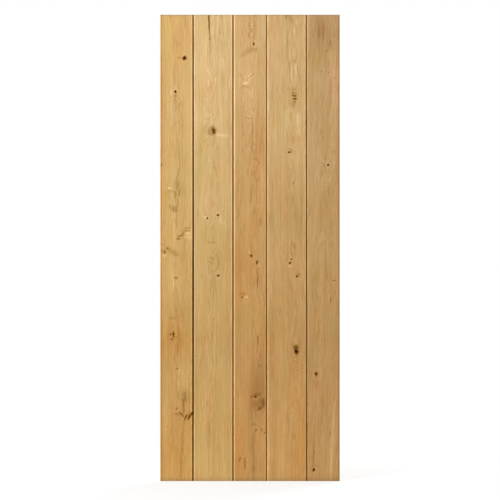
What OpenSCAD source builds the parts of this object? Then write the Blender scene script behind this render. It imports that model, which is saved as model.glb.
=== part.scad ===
// Ledged oak door leaf: five tongued and grooved boards with V joints, held by three
// ledges that are screwed on from behind, with every screw hidden under an oak pellet.
// The leaf stands on its bottom edge. +Z is up, the boards show their face to -Y, and the
// ledges are on the +Y side. The origin is below the middle of the leaf, on its bottom edge.

/* [Leaf] */
// Height of the leaf
door_h = 1981; // [1800:1:2200]
// Width of the leaf
door_w = 762; // [610:1:926]

/* [Boards] */
// Face width of the two wide boards, the second and the fourth
wide_board_w = 171; // [130:0.5:200]
// Thickness of the boards
board_t = 20; // [16:0.5:28]
// Width of the bevel on each edge of a joint, on the face and on the back
v_bevel = 2.5; // [1:0.25:4]
// Gap that is left open at each joint, from left to right
joint_gaps = [2.4, 1.2, 0.8, 1]; // [0.4:0.1:3]
// Easing of the outer edges and of the ends
arris = 1.5; // [0.5:0.25:3]

/* [Tongues and grooves] */
// Thickness of the tongues
tongue_t = 6; // [4:0.5:8]
// How far a tongue stands out of its board
tongue_l = 9; // [6:0.5:12]
// Easing of the tongue's nose
tongue_nose = 1; // [0.5:0.25:1.5]
// Clearance on each side of a tongue in its groove
tongue_clear = 0.2; // [0.1:0.05:0.5]
// Free depth left beyond the tongue's nose
groove_spare = 1; // [0.5:0.25:3]

/* [Ledges] */
// Width of a ledge, up the door
ledge_w = 145; // [110:1:200]
// Thickness of a ledge
ledge_t = 20; // [18:0.5:30]
// Bevel round the back of a ledge
ledge_bevel = 6; // [2:0.5:10]
// How far a ledge stops short of each edge of the leaf
ledge_inset = 20; // [5:1:30]
// From the top of the leaf to the top ledge
top_ledge_drop = 130; // [60:1:250]
// Height of the middle ledge's centre line
middle_ledge_z = 1000; // [850:1:1100]
// From the bottom of the leaf to the bottom ledge
bottom_ledge_rise = 170; // [80:1:300]

/* [Screws and pellets] */
// From a board's edge to its screw, across the door
screw_inset = 45; // [40:1:55]
// From a ledge's long edge to its row of screws
screw_edge = 36; // [25:1:45]
// Length of a screw, from the top of its head to its point
screw_l = 25; // [22:0.5:27]
// Diameter of a screw's shank
screw_d = 4; // [3:0.25:5]
// Diameter of a screw's countersunk head
head_d = 8; // [6.5:0.25:9]
// Length of a screw's point
point_l = 6; // [4:0.5:8]
// Length of each slot of the cross in a screw's head
recess_l = 4.8; // [3:0.1:6]
// Width of each slot of the cross
recess_w = 1; // [0.5:0.1:1.5]
// Depth of the cross
recess_depth = 1.6; // [0.8:0.1:2]
// Diameter of a pellet's bore
pellet_bore_d = 10; // [9.5:0.25:13]
// Depth of a pellet's bore
pellet_bore_depth = 7; // [5:0.25:8]
// Clearance round a screw, and between its head and the pellet
screw_clear = 0.1; // [0.05:0.05:0.3]
// Clearance round a pellet
pellet_clear = 0.05; // [0.02:0.01:0.2]
// How much a pellet narrows towards its inner end, on the radius
pellet_taper = 0.25; // [0.1:0.05:0.5]

/* [End check] */
// From the second board's left joint to the split in its top end
check_offset = 66; // [40:1:80]
// Width of the split at the end of the board
check_w = 3; // [1:0.25:5]
// Length of the split
check_l = 130; // [40:1:200]
// Depth of the split from the face
check_depth = 9; // [3:0.5:14]
// How far the split drifts towards the right as it runs down
check_drift = 5; // [0:0.5:10]

/* [Hidden] */
BOARD_COUNT = 5;
WIDE_COUNT = 2;
LAST = BOARD_COUNT - 1;
CHECKED_BOARD = 1;
narrow_board_w = (door_w - WIDE_COUNT * wide_board_w) / (BOARD_COUNT - WIDE_COUNT);

// Depths through the leaf: the face, the plane where boards and ledges meet, and the back
face_y = -(board_t + ledge_t) / 2;
seat_y = face_y + board_t;
back_y = seat_y + ledge_t;
tongue_y = face_y + board_t / 2;

// Centre heights of the ledges
top_ledge_z = door_h - top_ledge_drop - ledge_w / 2;
bottom_ledge_z = bottom_ledge_rise + ledge_w / 2;

// Height of a screw's cone, at 45 degrees, and the depth at which its head sits
head_h = (head_d - screw_d) / 2;
head_y = back_y - pellet_bore_depth;

// Overlap that keeps a cut or a join from ending on a face
over = 1;
$fn = 48;

FACE_OAK = [0.82, 0.67, 0.43];
LEDGE_OAK = [0.78, 0.62, 0.40];
PELLET_OAK = [0.72, 0.55, 0.34];
SCREW_STEEL = [0.72, 0.70, 0.64];

function board_w(i) = i % 2 == 1 ? wide_board_w : narrow_board_w;
// Where a board starts: the middle of the joint on its left, or the edge of the leaf
function board_start(i) = i == 0 ? -door_w / 2 : board_start(i - 1) + board_w(i - 1);
function gap_before(i) = i == 0 ? 0 : joint_gaps[i - 1];
function gap_after(i) = i == LAST ? 0 : joint_gaps[i];
function board_left(i) = board_start(i) + gap_before(i) / 2;
function board_right(i) = board_start(i) + board_w(i) - gap_after(i) / 2;

// A strip across the door from x0 to x1, with its own bevel on each edge, front and back
module strip_section(x0, x1, bevel0, bevel1) {
    polygon([
        [x0, face_y + bevel0], [x0 + bevel0, face_y],
        [x1 - bevel1, face_y], [x1, face_y + bevel1],
        [x1, seat_y - bevel1], [x1 - bevel1, seat_y],
        [x0 + bevel0, seat_y], [x0, seat_y - bevel0]
    ]);
}

// The tongue on the right edge of a board, with an eased nose
module tongue_section(x) {
    half = tongue_t / 2;
    tip = x + tongue_l;
    polygon([
        [x - over, tongue_y - half], [tip - tongue_nose, tongue_y - half],
        [tip, tongue_y - half + tongue_nose], [tip, tongue_y + half - tongue_nose],
        [tip - tongue_nose, tongue_y + half], [x - over, tongue_y + half]
    ]);
}

// The groove in the left edge of a board, deep enough for the tongue across the open gap
module groove_section(x, gap) {
    half = tongue_t / 2 + tongue_clear;
    depth = tongue_l - gap + groove_spare;
    translate([x - over, tongue_y - half]) square([over + depth, 2 * half]);
}

module board_section(i) {
    difference() {
        union() {
            strip_section(
                board_left(i), board_right(i),
                i == 0 ? arris : v_bevel, i == LAST ? arris : v_bevel
            );
            if (i < LAST) tongue_section(board_right(i));
        }
        if (i > 0) groove_section(board_left(i), gap_before(i));
    }
}

// Turns a section drawn across the thickness and up the door into a bar along the door
module along_door(x0, x1) {
    translate([x0, 0, 0]) rotate([90, 0, 90]) linear_extrude(x1 - x0) children();
}

// The leaf's section up the door, with eased ends, which trims a board
module eased_ends(x0, x1) {
    along_door(x0, x1) polygon([
        [face_y, arris], [face_y + arris, 0], [seat_y - arris, 0], [seat_y, arris],
        [seat_y, door_h - arris], [seat_y - arris, door_h],
        [face_y + arris, door_h], [face_y, door_h - arris]
    ]);
}

// The split in the top end of a board: a wedge that closes as it runs down
module end_check(i) {
    x = board_start(i) + check_offset;
    translate([0, face_y + check_depth, 0]) rotate([90, 0, 0]) linear_extrude(check_depth + over)
        polygon([
            [x - check_w / 2, door_h], [x - check_w / 2, door_h + over],
            [x + check_w / 2, door_h + over], [x + check_w / 2, door_h],
            [x + check_drift, door_h - check_l]
        ]);
}

// Places its children at the two screws of a board on one ledge, facing out of the back
module at_board_screws(i, ledge_z) {
    row = ledge_w / 2 - screw_edge;
    spots = [
        [board_start(i) + screw_inset, ledge_z + row],
        [board_start(i) + board_w(i) - screw_inset, ledge_z - row]
    ];
    for (spot = spots) translate([spot[0], head_y, spot[1]]) rotate([-90, 0, 0]) children();
}

module at_ledge_screws(ledge_z) {
    for (i = [0 : LAST]) at_board_screws(i, ledge_z) children();
}

module at_all_board_screws(i) {
    for (z = [top_ledge_z, middle_ledge_z, bottom_ledge_z]) at_board_screws(i, z) children();
}

// A screw's outline in radius and height, from its point up to the top of its head
module screw_outline(extra) {
    polygon([
        [0, -screw_l - extra], [screw_d / 2 + extra, point_l - screw_l],
        [screw_d / 2 + extra, -head_h], [head_d / 2 + extra, 0], [0, 0]
    ]);
}

module screw() {
    difference() {
        rotate_extrude() screw_outline(0);
        for (turn = [0, 90]) rotate([0, 0, turn])
            translate([-recess_l / 2, -recess_w / 2, -recess_depth])
                cube([recess_l, recess_w, recess_depth + over]);
    }
}

// What a screw and its pellet take out of the oak
module screw_bore() {
    rotate_extrude() screw_outline(screw_clear);
    cylinder(d = pellet_bore_d, h = pellet_bore_depth + over);
}

module pellet() {
    outer = pellet_bore_d / 2 - pellet_clear;
    translate([0, 0, screw_clear])
        cylinder(r1 = outer - pellet_taper, r2 = outer, h = pellet_bore_depth - screw_clear);
}

module board(i) {
    x0 = board_left(i) - over;
    x1 = board_right(i) + tongue_l + over;
    color(FACE_OAK) difference() {
        intersection() {
            linear_extrude(door_h) board_section(i);
            eased_ends(x0, x1);
        }
        at_all_board_screws(i) screw_bore();
        if (i == CHECKED_BOARD) end_check(i);
    }
}

// A ledge's section up the door and its outline along the door, both bevelled at the back
module ledge_bar(ledge_z) {
    end_x = door_w / 2 - ledge_inset;
    half = ledge_w / 2;
    intersection() {
        along_door(-end_x, end_x) polygon([
            [seat_y, ledge_z - half], [back_y - ledge_bevel, ledge_z - half],
            [back_y, ledge_z - half + ledge_bevel], [back_y, ledge_z + half - ledge_bevel],
            [back_y - ledge_bevel, ledge_z + half], [seat_y, ledge_z + half]
        ]);
        translate([0, 0, ledge_z - half]) linear_extrude(ledge_w) polygon([
            [-end_x, seat_y], [end_x, seat_y], [end_x, back_y - ledge_bevel],
            [end_x - ledge_bevel, back_y], [ledge_bevel - end_x, back_y],
            [-end_x, back_y - ledge_bevel]
        ]);
    }
}

module ledge(ledge_z) {
    color(LEDGE_OAK) difference() {
        ledge_bar(ledge_z);
        at_ledge_screws(ledge_z) screw_bore();
    }
}

module ledge_screws(ledge_z) {
    color(SCREW_STEEL) at_ledge_screws(ledge_z) screw();
}

module ledge_pellets(ledge_z) {
    color(PELLET_OAK) at_ledge_screws(ledge_z) pellet();
}

board(0);  // board_1
board(1);  // board_2
board(2);  // board_3
board(3);  // board_4
board(4);  // board_5
ledge(top_ledge_z);  // top_ledge
ledge(middle_ledge_z);  // middle_ledge
ledge(bottom_ledge_z);  // bottom_ledge
ledge_screws(top_ledge_z);  // top_ledge_screws
ledge_screws(middle_ledge_z);  // middle_ledge_screws
ledge_screws(bottom_ledge_z);  // bottom_ledge_screws
ledge_pellets(top_ledge_z);  // top_ledge_pellets
ledge_pellets(middle_ledge_z);  // middle_ledge_pellets
ledge_pellets(bottom_ledge_z);  // bottom_ledge_pellets
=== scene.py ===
"""Looks of a ledged oak door: five knotty, V-jointed boards in front, three ledges behind."""

import math
from dataclasses import dataclass

import bmesh
import bpy
import numpy as np
from mathutils import Color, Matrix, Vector


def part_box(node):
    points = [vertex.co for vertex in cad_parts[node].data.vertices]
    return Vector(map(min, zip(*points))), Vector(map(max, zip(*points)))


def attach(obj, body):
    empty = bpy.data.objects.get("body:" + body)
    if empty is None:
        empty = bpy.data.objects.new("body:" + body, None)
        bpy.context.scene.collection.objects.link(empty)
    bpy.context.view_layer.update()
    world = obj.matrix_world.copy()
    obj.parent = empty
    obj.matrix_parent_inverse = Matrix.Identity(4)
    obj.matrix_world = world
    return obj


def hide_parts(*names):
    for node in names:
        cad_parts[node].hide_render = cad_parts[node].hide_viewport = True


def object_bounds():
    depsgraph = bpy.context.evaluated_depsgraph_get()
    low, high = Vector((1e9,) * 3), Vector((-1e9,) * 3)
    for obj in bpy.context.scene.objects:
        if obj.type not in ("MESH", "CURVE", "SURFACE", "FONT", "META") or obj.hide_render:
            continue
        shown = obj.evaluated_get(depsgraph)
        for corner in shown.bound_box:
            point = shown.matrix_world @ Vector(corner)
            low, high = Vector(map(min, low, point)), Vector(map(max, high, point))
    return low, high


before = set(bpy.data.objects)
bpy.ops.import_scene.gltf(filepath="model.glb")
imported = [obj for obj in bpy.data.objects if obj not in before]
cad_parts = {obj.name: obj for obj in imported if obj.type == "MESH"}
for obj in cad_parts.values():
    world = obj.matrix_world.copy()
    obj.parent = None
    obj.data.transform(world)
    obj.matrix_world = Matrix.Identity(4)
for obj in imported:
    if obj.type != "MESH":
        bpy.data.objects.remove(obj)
CAD_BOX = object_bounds()

MM = 0.001
BODY = "root"

# Planes of the leaf, from the frame
LEAF_LEFT = CAD_BOX[0].x
LEAF_HEIGHT = CAD_BOX[1].z
FACE_Y = CAD_BOX[0].y
SEAT_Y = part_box("board_1")[1].y
LEDGES = ("top_ledge", "middle_ledge", "bottom_ledge")

# Section of a board, as in the solids
BEVEL = 2.5 * MM
ARRIS = 1.5 * MM
TONGUE_T = 6 * MM
TONGUE_L = 9 * MM
TONGUE_NOSE = 1 * MM
TONGUE_CLEAR = 0.2 * MM
GROOVE_SPARE = 1 * MM
EDGE_EASE = 0.7 * MM
EASE_MOST = 0.4

# Split in the top end of the second board, as in the solids
CHECK_X = -175 * MM
CHECK_W = 3 * MM
CHECK_L = 130 * MM
CHECK_DEPTH = 9 * MM
CHECK_DRIFT = 5 * MM

# Fineness of the boards' meshes
COLUMN_STEP = 2.5 * MM
EDGE_STEP = 1 * MM
EDGE_ROOM = 8 * MM
CHECK_STEP = 0.5 * MM
LEAST_COLUMN = 0.4 * MM
BACK_STEP = 12 * MM
ROW_STEP = 4 * MM
FINE_STEP = 1.6 * MM
FINE_MARGIN = 5 * MM
LEAST_ROW = 0.7 * MM
END_STEPS = 4
END_SLICE_X = 6 * MM
END_SLICE_Y = 2.5 * MM


# What the wood shows, in millimetres from the left edge and the bottom of the leaf


@dataclass
class Knot:
    """A cut branch: its darkness, how far it bends the rings, and its slant in degrees."""

    x: float
    z: float
    across: float
    along: float
    dark: float = 1.0
    swirl: float = 5.0
    slant: float = 0.0


@dataclass
class Streak:
    """A soft line along a path, pointed at both ends, dark or light."""

    path: tuple
    width: float
    strength: float


@dataclass
class Patch:
    """A soft oval of another tint."""

    x: float
    z: float
    across: float
    along: float
    strength: float
    tint: str


@dataclass
class Ripple:
    """A patch of short waves across the grain, turned from the level by an angle in degrees."""

    x: float
    z: float
    across: float
    along: float
    pitch: float
    strength: float
    turn: float = 0.0


@dataclass
class Edge:
    """How strong the painted highlight is on a face beside an edge, how dark the painted shade is in its
    bevel and joint, and how far and how strongly painted shade comes onto the face.

    The fade gives heights, and the share of the bevel's painted shade that is left there.
    """

    pale: float = 0.0
    groove: float = 0.0
    reach: float = 0.0
    shade: float = 0.0
    fade: tuple = ((0, 1.0),)


def uprights(width, strength, *lines):
    """Streaks straight up the board, each given by its place across and its two heights."""
    return [Streak(((x, high), (x, low)), width, strength) for x, high, low in lines]


def levels(width, strength, *lines):
    """Streaks straight across the board, each given by its height and its two ends."""
    return [Streak(((left, z), (right, z)), width, strength) for z, left, right in lines]


def bends(width, strength, *paths):
    """Streaks along paths of places across and heights."""
    return [Streak(path, width, strength) for path in paths]


def washes(tint, *ovals):
    """Patches of one tint, each given by its place, its size and its strength."""
    return [Patch(*numbers, tint) for numbers in ovals]


OVAL_POINTS = 10


def oval(x, z, across, along):
    """A closed path round an oval, from its top."""
    turns = [2 * math.pi * step / OVAL_POINTS for step in range(OVAL_POINTS + 1)]
    return [(x + across / 2 * math.sin(turn), z + along / 2 * math.cos(turn)) for turn in turns]


@dataclass
class Board:
    """One board: its colour, where the tree's heart lay behind it, and what its face shows."""

    node: str
    colour: tuple
    heart: float
    bury: float
    taper: float
    pitch: float
    seed: int
    left: Edge
    right: Edge
    knots: list
    stains: list
    flecks: list
    patches: list
    ripples: tuple = ()
    lean: float = 0.0


# Factors on a board's colour, red, green and blue, in linear light
TINTS = {
    "orange": (1.00, 0.86, 0.66),
    "red": (0.97, 0.82, 0.74),
    "pale": (1.06, 1.10, 1.16),
    "olive": (0.95, 1.00, 0.86),
    "brown": (0.72, 0.62, 0.48),
    "grey": (0.66, 0.68, 0.62),
}

BOARD_1 = Board(
    "board_1", (211, 168, 102), heart=70, bury=46, taper=0.012, pitch=4.6, seed=11,
    left=Edge(reach=6, shade=0.11),
    right=Edge(pale=1.0, groove=0.95, reach=0.6, shade=0.3, fade=((1100, 1.0), (1981, 0.45))),
    knots=[
        Knot(103, 1797, 14, 20, slant=30, swirl=9), Knot(64, 1654, 10, 12, swirl=9),
        Knot(5, 1343, 12, 12, dark=0.2), Knot(68, 1200, 20, 70, dark=0.0, swirl=12),
        Knot(76, 1029, 12, 8, dark=0.4, swirl=7), Knot(19, 972, 13, 15, dark=0.28, swirl=7),
        Knot(30, 989, 7, 8, dark=0.3, swirl=3), Knot(67, 863, 15, 12, dark=0.28),
        Knot(56, 624, 9, 22, dark=0.65, swirl=9), Knot(44, 624, 8, 12, dark=0.45, swirl=2),
        Knot(50, 602, 14, 10, dark=0.25, swirl=2), Knot(70, 478, 8, 5, dark=0.45, swirl=4),
        Knot(30, 232, 5, 6, dark=0.3, swirl=3),
    ],
    stains=[
        *uprights(7, 0.4, (42, 1995, 1966), (105, 1995, 1910), (83, 1616, 1588), (72, 1302, 1244)),
        *uprights(7, 0.45, (68, 1148, 1074), (74, 1204, 1166)), *uprights(8, 0.7, (64, 1650, 1630)),
        *uprights(5, 0.65, (39, 1178, 1158), (47, 1168, 1146), (55, 1170, 1144), (62, 1170, 1140)),
        *uprights(6, 0.7, (65, 1214, 1182), (69, 1178, 1136)),
        *uprights(8, 0.75, (64, 1236, 1194), (80, 1240, 1206)), *uprights(22, 0.45, (70, 1284, 1238)),
        # The upright at 136 mm is painted shade beside the first joint, in its lower part
        *uprights(6, 0.3, (74, 588, 526), (60, 545, 496)), *uprights(5, 0.6, (136, 1000, -400)),
        *levels(9, 0.6, (1798, 72, 90)), *levels(11, 0.33, (693, 32, 68), (285, 52, 86)),
        *levels(5, 0.8, (1064, 98, 126), (1075, 98, 130)),
        *bends(8, 0.35, ((60, 1628), (66, 1614), (64, 1596)), ((32, 1237), (48, 1232), (62, 1227))),
        *bends(8, 0.3, ((2, 1013), (12, 1003), (26, 998)), ((78, 1338), (76, 1310), (73, 1290))),
        *bends(7, 0.3, ((62, 1026), (78, 1030), (96, 1027))), *bends(8, 0.45, ((58, 620), (72, 606))),
        *bends(10, 0.75, ((70, 1038), (88, 1042), (100, 1054), (108, 1068))),
        *bends(25, 0.42, ((20, 993), (46, 979), (78, 957))), *bends(15, 0.45, ((2, 985), (22, 973))),
        *bends(13, 0.4, ((84, 348), (98, 340), (112, 346)), ((106, 380), (104, 358), (109, 338))),
        *bends(10, 0.85, ((99, 354), (98, 318), (100, 286)), ((70, 314), (69, 298))),
        *bends(8, 1.2, ((80, 294), (92, 284), (99, 272)), ((114, 284), (108, 271), (101, 256))),
        *bends(12, 1.6, ((146, 302), (136, 288), (128, 280), (116, 262))),
        *bends(8, 0.42, ((101, 262), (97, 200), (93, 130), (88, 60), (86, -40))),
    ],
    flecks=[
        *bends(9, 1.5, ((32, 1248), (40, 1243), (48, 1238))),
        *bends(9, 1.0, ((10, 961), (18, 957), (24, 952))),
        *uprights(6, 0.4, (131, 2300, 700)), *uprights(6, 0.9, (131, 900, -500)),
        *uprights(8, 0.7, (60, 1145, 980), (48, 1668, 1638)), *uprights(5, 0.5, (55, 860, 800)),
        *levels(9, 1.1, (1053, 102, 138), (299, 67, 78)), *levels(14, 0.85, (1036, 102, 140)),
        *levels(5, 0.9, (618, 60, 70)), *levels(6, 0.4, (1459, 68, 84)),
        *bends(6, 0.45, ((70, 466), (82, 471), (94, 466)), ((69, 1230), (75, 1221))),
    ],
    patches=[
        *washes("orange", (4, 1000, 24, 2400, 0.6), (20, 1217, 20, 34, 0.9), (60, 600, 130, 150, 0.8)),
        *washes("orange", (60, 120, 170, 280, 0.6), (60, 1900, 160, 260, 0.35)),
        *washes("red", (18, 1430, 26, 150, 0.4), (90, 1900, 60, 160, 0.5), (18, 1560, 26, 60, 0.5)),
        *washes("brown", (52, 614, 60, 80, 0.3), (70, 1690, 170, 220, 0.15), (62, 1160, 40, 40, 0.3)),
        *washes("brown", (70, 1266, 34, 60, 0.25), (98, 278, 70, 50, 0.25)),
        *washes("pale", (94, 430, 110, 200, 1.35), (75, 1050, 150, 520, 0.6), (70, 60, 160, 200, 0.8)),
        *washes("pale", (70, 1270, 160, 160, 0.4), (70, 840, 160, 220, 0.5)),
        *washes("olive", (60, 1220, 60, 90, 0.5), (30, 1900, 70, 260, 0.8)),
        *washes("grey", (102, 362, 50, 60, 0.7)),
    ],
    ripples=(Ripple(70, 1605, 30, 60, 12, 0.25, 60),),
)

BOARD_2 = Board(
    "board_2", (215, 175, 113), heart=216, bury=40, taper=0.014, pitch=4.8, seed=23,
    left=Edge(pale=1.2, groove=0.95, fade=((0, 0.1), (820, 1.0), (1100, 1.0), (1981, 0.4))),
    right=Edge(pale=1.9, groove=0.8, reach=3.5, shade=0.52),
    knots=[
        Knot(227, 1488, 17, 34, dark=0.6, swirl=10, slant=-14), Knot(214, 1486, 20, 36, dark=0.0, swirl=8),
        Knot(217, 1177, 22, 30, dark=0.0, swirl=8), Knot(245, 1130, 10, 9),
        Knot(200, 1117, 8, 8, dark=0.9, swirl=4), Knot(216, 939, 24, 40, dark=0.0, swirl=9),
        Knot(246, 873, 11, 10, dark=0.75, swirl=6),
    ],
    stains=[
        *bends(9, 1.05, ((205, 2040), (207, 1950), (209, 1898))),
        *bends(11, 0.55, ((209, 1915), (211, 1890), (211, 1868))),
        *bends(7, 0.25, ((212, 1880), (212, 1846), (211, 1810)), ((231, 1898), (237, 1866))),
        *bends(7, 0.35, ((262, 2000), (264, 1930), (268, 1882)), ((174, 884), (178, 856))),
        *uprights(6, 0.25, (252, 1945, 1880), (257, 1990, 1958)), *uprights(7, 0.45, (223, 1516, 1502)),
        *bends(6, 0.6, ((226, 1510), (210, 1500), (205, 1486), (210, 1472), (224, 1465))),
        *bends(4, 0.5, ((222, 1500), (213, 1490), (214, 1479), (222, 1472))),
        *uprights(28, 0.18, (226, 1465, 1425)), *uprights(18, 0.15, (244, 1272, 1230)),
        *uprights(7, 0.3, (160, 1157, 1123), (200, 350, 312)),
        *levels(5, 0.4, (1014, 200, 238), (687, 220, 232)),
        *bends(8, 0.5, ((202, 936), (218, 924))), *bends(6, 0.3, ((202, 951), (217, 945), (230, 937))),
    ],
    flecks=[
        *bends(16, 0.6, ((232, 1473), (256, 1469), (294, 1466))), *levels(8, 1.5, (1121, 182, 196)),
        *levels(7, 0.8, (1140, 236, 246), (891, 236, 246)),
        *levels(8, 0.5, (882, 226, 242), (861, 240, 254), (1622, 184, 198), (1362, 202, 218)),
        *bends(7, 0.7, ((250, 1118), (262, 1093)), ((272, 1100), (283, 1073))),
        *bends(6, 0.4, ((194, 1758), (204, 1741), (214, 1729)), ((211, 1732), (221, 1698))),
        *uprights(7, 0.45, (235, 1718, 1698), (204, 1704, 1670), (245, 1982, 1890)),
        *uprights(8, 0.3, (295, 745, 635), (228, 625, 555)),
    ],
    patches=[
        *washes("olive", (182, 1440, 60, 130, 0.8), (200, 1030, 90, 130, 0.7), (175, 1320, 60, 110, 0.6)),
        *washes("olive", (165, 1240, 24, 50, 0.8), (180, 1920, 50, 80, 0.6), (155, 250, 20, 500, 0.6)),
        *washes("olive", (225, 200, 190, 560, 0.5)),
        *washes("red", (215, 1640, 90, 120, 0.25), (250, 1855, 60, 40, 0.25), (185, 600, 50, 40, 0.4)),
        *washes("brown", (212, 590, 20, 60, 0.15), (246, 598, 16, 50, 0.2), (218, 1486, 34, 42, 0.7)),
        *washes("pale", (225, 1880, 180, 300, 0.4), (225, 1380, 190, 500, 0.25)),
        *washes("grey", (225, 940, 190, 300, 0.1)), *washes("orange", (144, 1500, 10, 1200, 0.3)),
    ],
    ripples=(
        Ripple(219, 1045, 44, 90, 9.5, 0.42), Ripple(217, 1180, 34, 34, 9, 0.6, 45),
        Ripple(250, 980, 40, 60, 13, 0.25, 50),
    ),
)

BOARD_3 = Board(
    "board_3", (209, 163, 101), heart=392, bury=34, taper=0.016, pitch=4.4, seed=37,
    left=Edge(pale=1.85, groove=0.12, fade=((600, 0.0), (1981, 1.0))), right=Edge(pale=0.45, groove=0.34),
    knots=[
        Knot(389, 1927, 20, 36, dark=0.0, swirl=8), Knot(397, 1857, 10, 13, dark=0.65, swirl=6),
        Knot(377, 1547, 14, 26, dark=0.0, swirl=9), Knot(386, 957, 11, 13, dark=0.65, swirl=7),
        Knot(411, 929, 7, 16, dark=0.8, slant=14), Knot(348, 781, 10, 8, dark=0.45, swirl=6),
        Knot(404, 358, 10, 11, dark=0.65, swirl=9), Knot(426, 309, 20, 14, dark=0.08),
        Knot(407, 217, 11, 10, dark=0.3, swirl=3), Knot(443, 205, 7, 8, dark=0.3, swirl=3),
    ],
    stains=[
        *uprights(11, 0.35, (402, 2060, 1875)),
        *uprights(5, 0.4, (396, 1882, 1862), (353, 1490, 1464), (362, 1556, 1538), (364, 1446, 1408)),
        *uprights(6, 0.3, (350, 1528, 1496), (371, 1326, 1294), (412, 576, 546)),
        *uprights(7, 0.5, (393, 1522, 1476)), *uprights(11, 0.37, (427, 1122, 1080), (396, 208, 172)),
        *uprights(7, 0.75, (413, 914, 814), (414, 622, 576), (396, 64, 32)),
        *uprights(17, 0.75, (437, 354, 314)), *levels(5, 0.6, (613, 413, 422)),
        *levels(9, 0.5, (358, 380, 394)), *levels(13, 0.5, (217, 422, 438)),
        *bends(6, 0.6, oval(389, 1930, 22, 32), oval(388, 1898, 23, 30)),
        *bends(5, 0.4, ((376, 1884), (382, 1864), (386, 1842)), ((403, 1888), (400, 1874), (390, 1862))),
        *bends(6, 0.3, ((374, 1996), (378, 1966), (388, 1946)), ((404, 1996), (400, 1964), (390, 1946))),
        *bends(24, 0.32, ((338, 1800), (364, 1823), (386, 1833), (414, 1837))),
        *bends(5, 0.45, ((362, 1702), (384, 1719), (402, 1738)), ((358, 1702), (346, 1716), (337, 1733))),
        *bends(8, 0.4, ((336, 1663), (350, 1676), (362, 1679), (374, 1672), (382, 1659))),
        *bends(8, 0.3, ((364, 1546), (378, 1540), (394, 1543)), ((394, 1373), (404, 1368), (414, 1365))),
        *bends(8, 0.38, ((391, 1458), (394, 1436), (388, 1416), (392, 1394)), ((413, 1360), (421, 1348))),
        *bends(11, 0.3, ((404, 1272), (416, 1282), (426, 1292)), ((421, 538), (427, 520))),
        *bends(14, 0.26, ((392, 1262), (388, 1228), (380, 1180)), ((332, 796), (350, 793), (364, 797))),
        *bends(8, 0.4, ((412, 489), (424, 487), (430, 498)), ((384, 239), (398, 243), (410, 238))),
        *bends(16, 0.55, ((392, 361), (407, 369), (428, 368))),
        *bends(14, 0.55, ((408, 301), (426, 311), (442, 320))),
        *bends(23, 0.3, ((400, 222), (396, 140), (395, -20))),
        *bends(8, 0.7, ((336, 80), (337, 94), (344, 104)), ((361, 104), (360, 78), (359, 49))),
    ],
    flecks=[
        *levels(9, 1.5, (1941, 383, 395), (782, 356, 373)),
        *levels(5, 0.8, (1914, 381, 397), (1880, 382, 394)),
        *levels(5, 0.65, (1549, 366, 382), (105, 348, 364), (347, 392, 414), (588, 422, 434)),
        *uprights(4, 0.7, (389, 1936, 1920), (380, 1936, 1918)),
        *uprights(7, 0.9, (388, 1904, 1888), (410, 1360, 1340)),
        *uprights(5, 0.45, (400, 1570, 1466), (438, 616, 598), (399, 545, 516), (368, 95, 58)),
        *bends(11, 1.3, ((352, 1688), (373, 1693))),
        *bends(5, 0.6, ((360, 1705), (379, 1722), (393, 1739)), ((374, 1705), (398, 1721))),
        *bends(8, 0.9, ((397, 1460), (402, 1440), (405, 1430)), ((374, 979), (381, 964))),
        *bends(8, 0.7, ((417, 923), (427, 911)), ((423, 604), (429, 614))),
        *bends(7, 0.45, ((394, 1426), (406, 1412)), ((411, 532), (417, 520))),
        *bends(7, 0.45, ((406, 1166), (416, 1172), (426, 1163))),
    ],
    patches=[
        *washes("red", (424, 1420, 60, 280, 0.65), (375, 890, 120, 150, 0.5), (428, 1130, 40, 120, 0.5)),
        *washes("red", (425, 540, 50, 80, 0.4)), *washes("pale", (375, 1850, 170, 420, 1.2)),
        *washes("brown", (410, 340, 80, 220, 0.6), (412, 328, 64, 44, 0.5), (415, 430, 80, 180, 0.45)),
        *washes("brown", (386, 1827, 56, 24, 0.22), (346, 1860, 30, 30, 0.12)),
        *washes("orange", (336, 120, 50, 320, 0.7), (336, 900, 40, 260, 0.5), (348, 793, 40, 28, 0.9)),
        *washes("orange", (390, 1060, 140, 300, 0.15)), *washes("olive", (390, 700, 90, 110, 0.6)),
    ],
)

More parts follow.
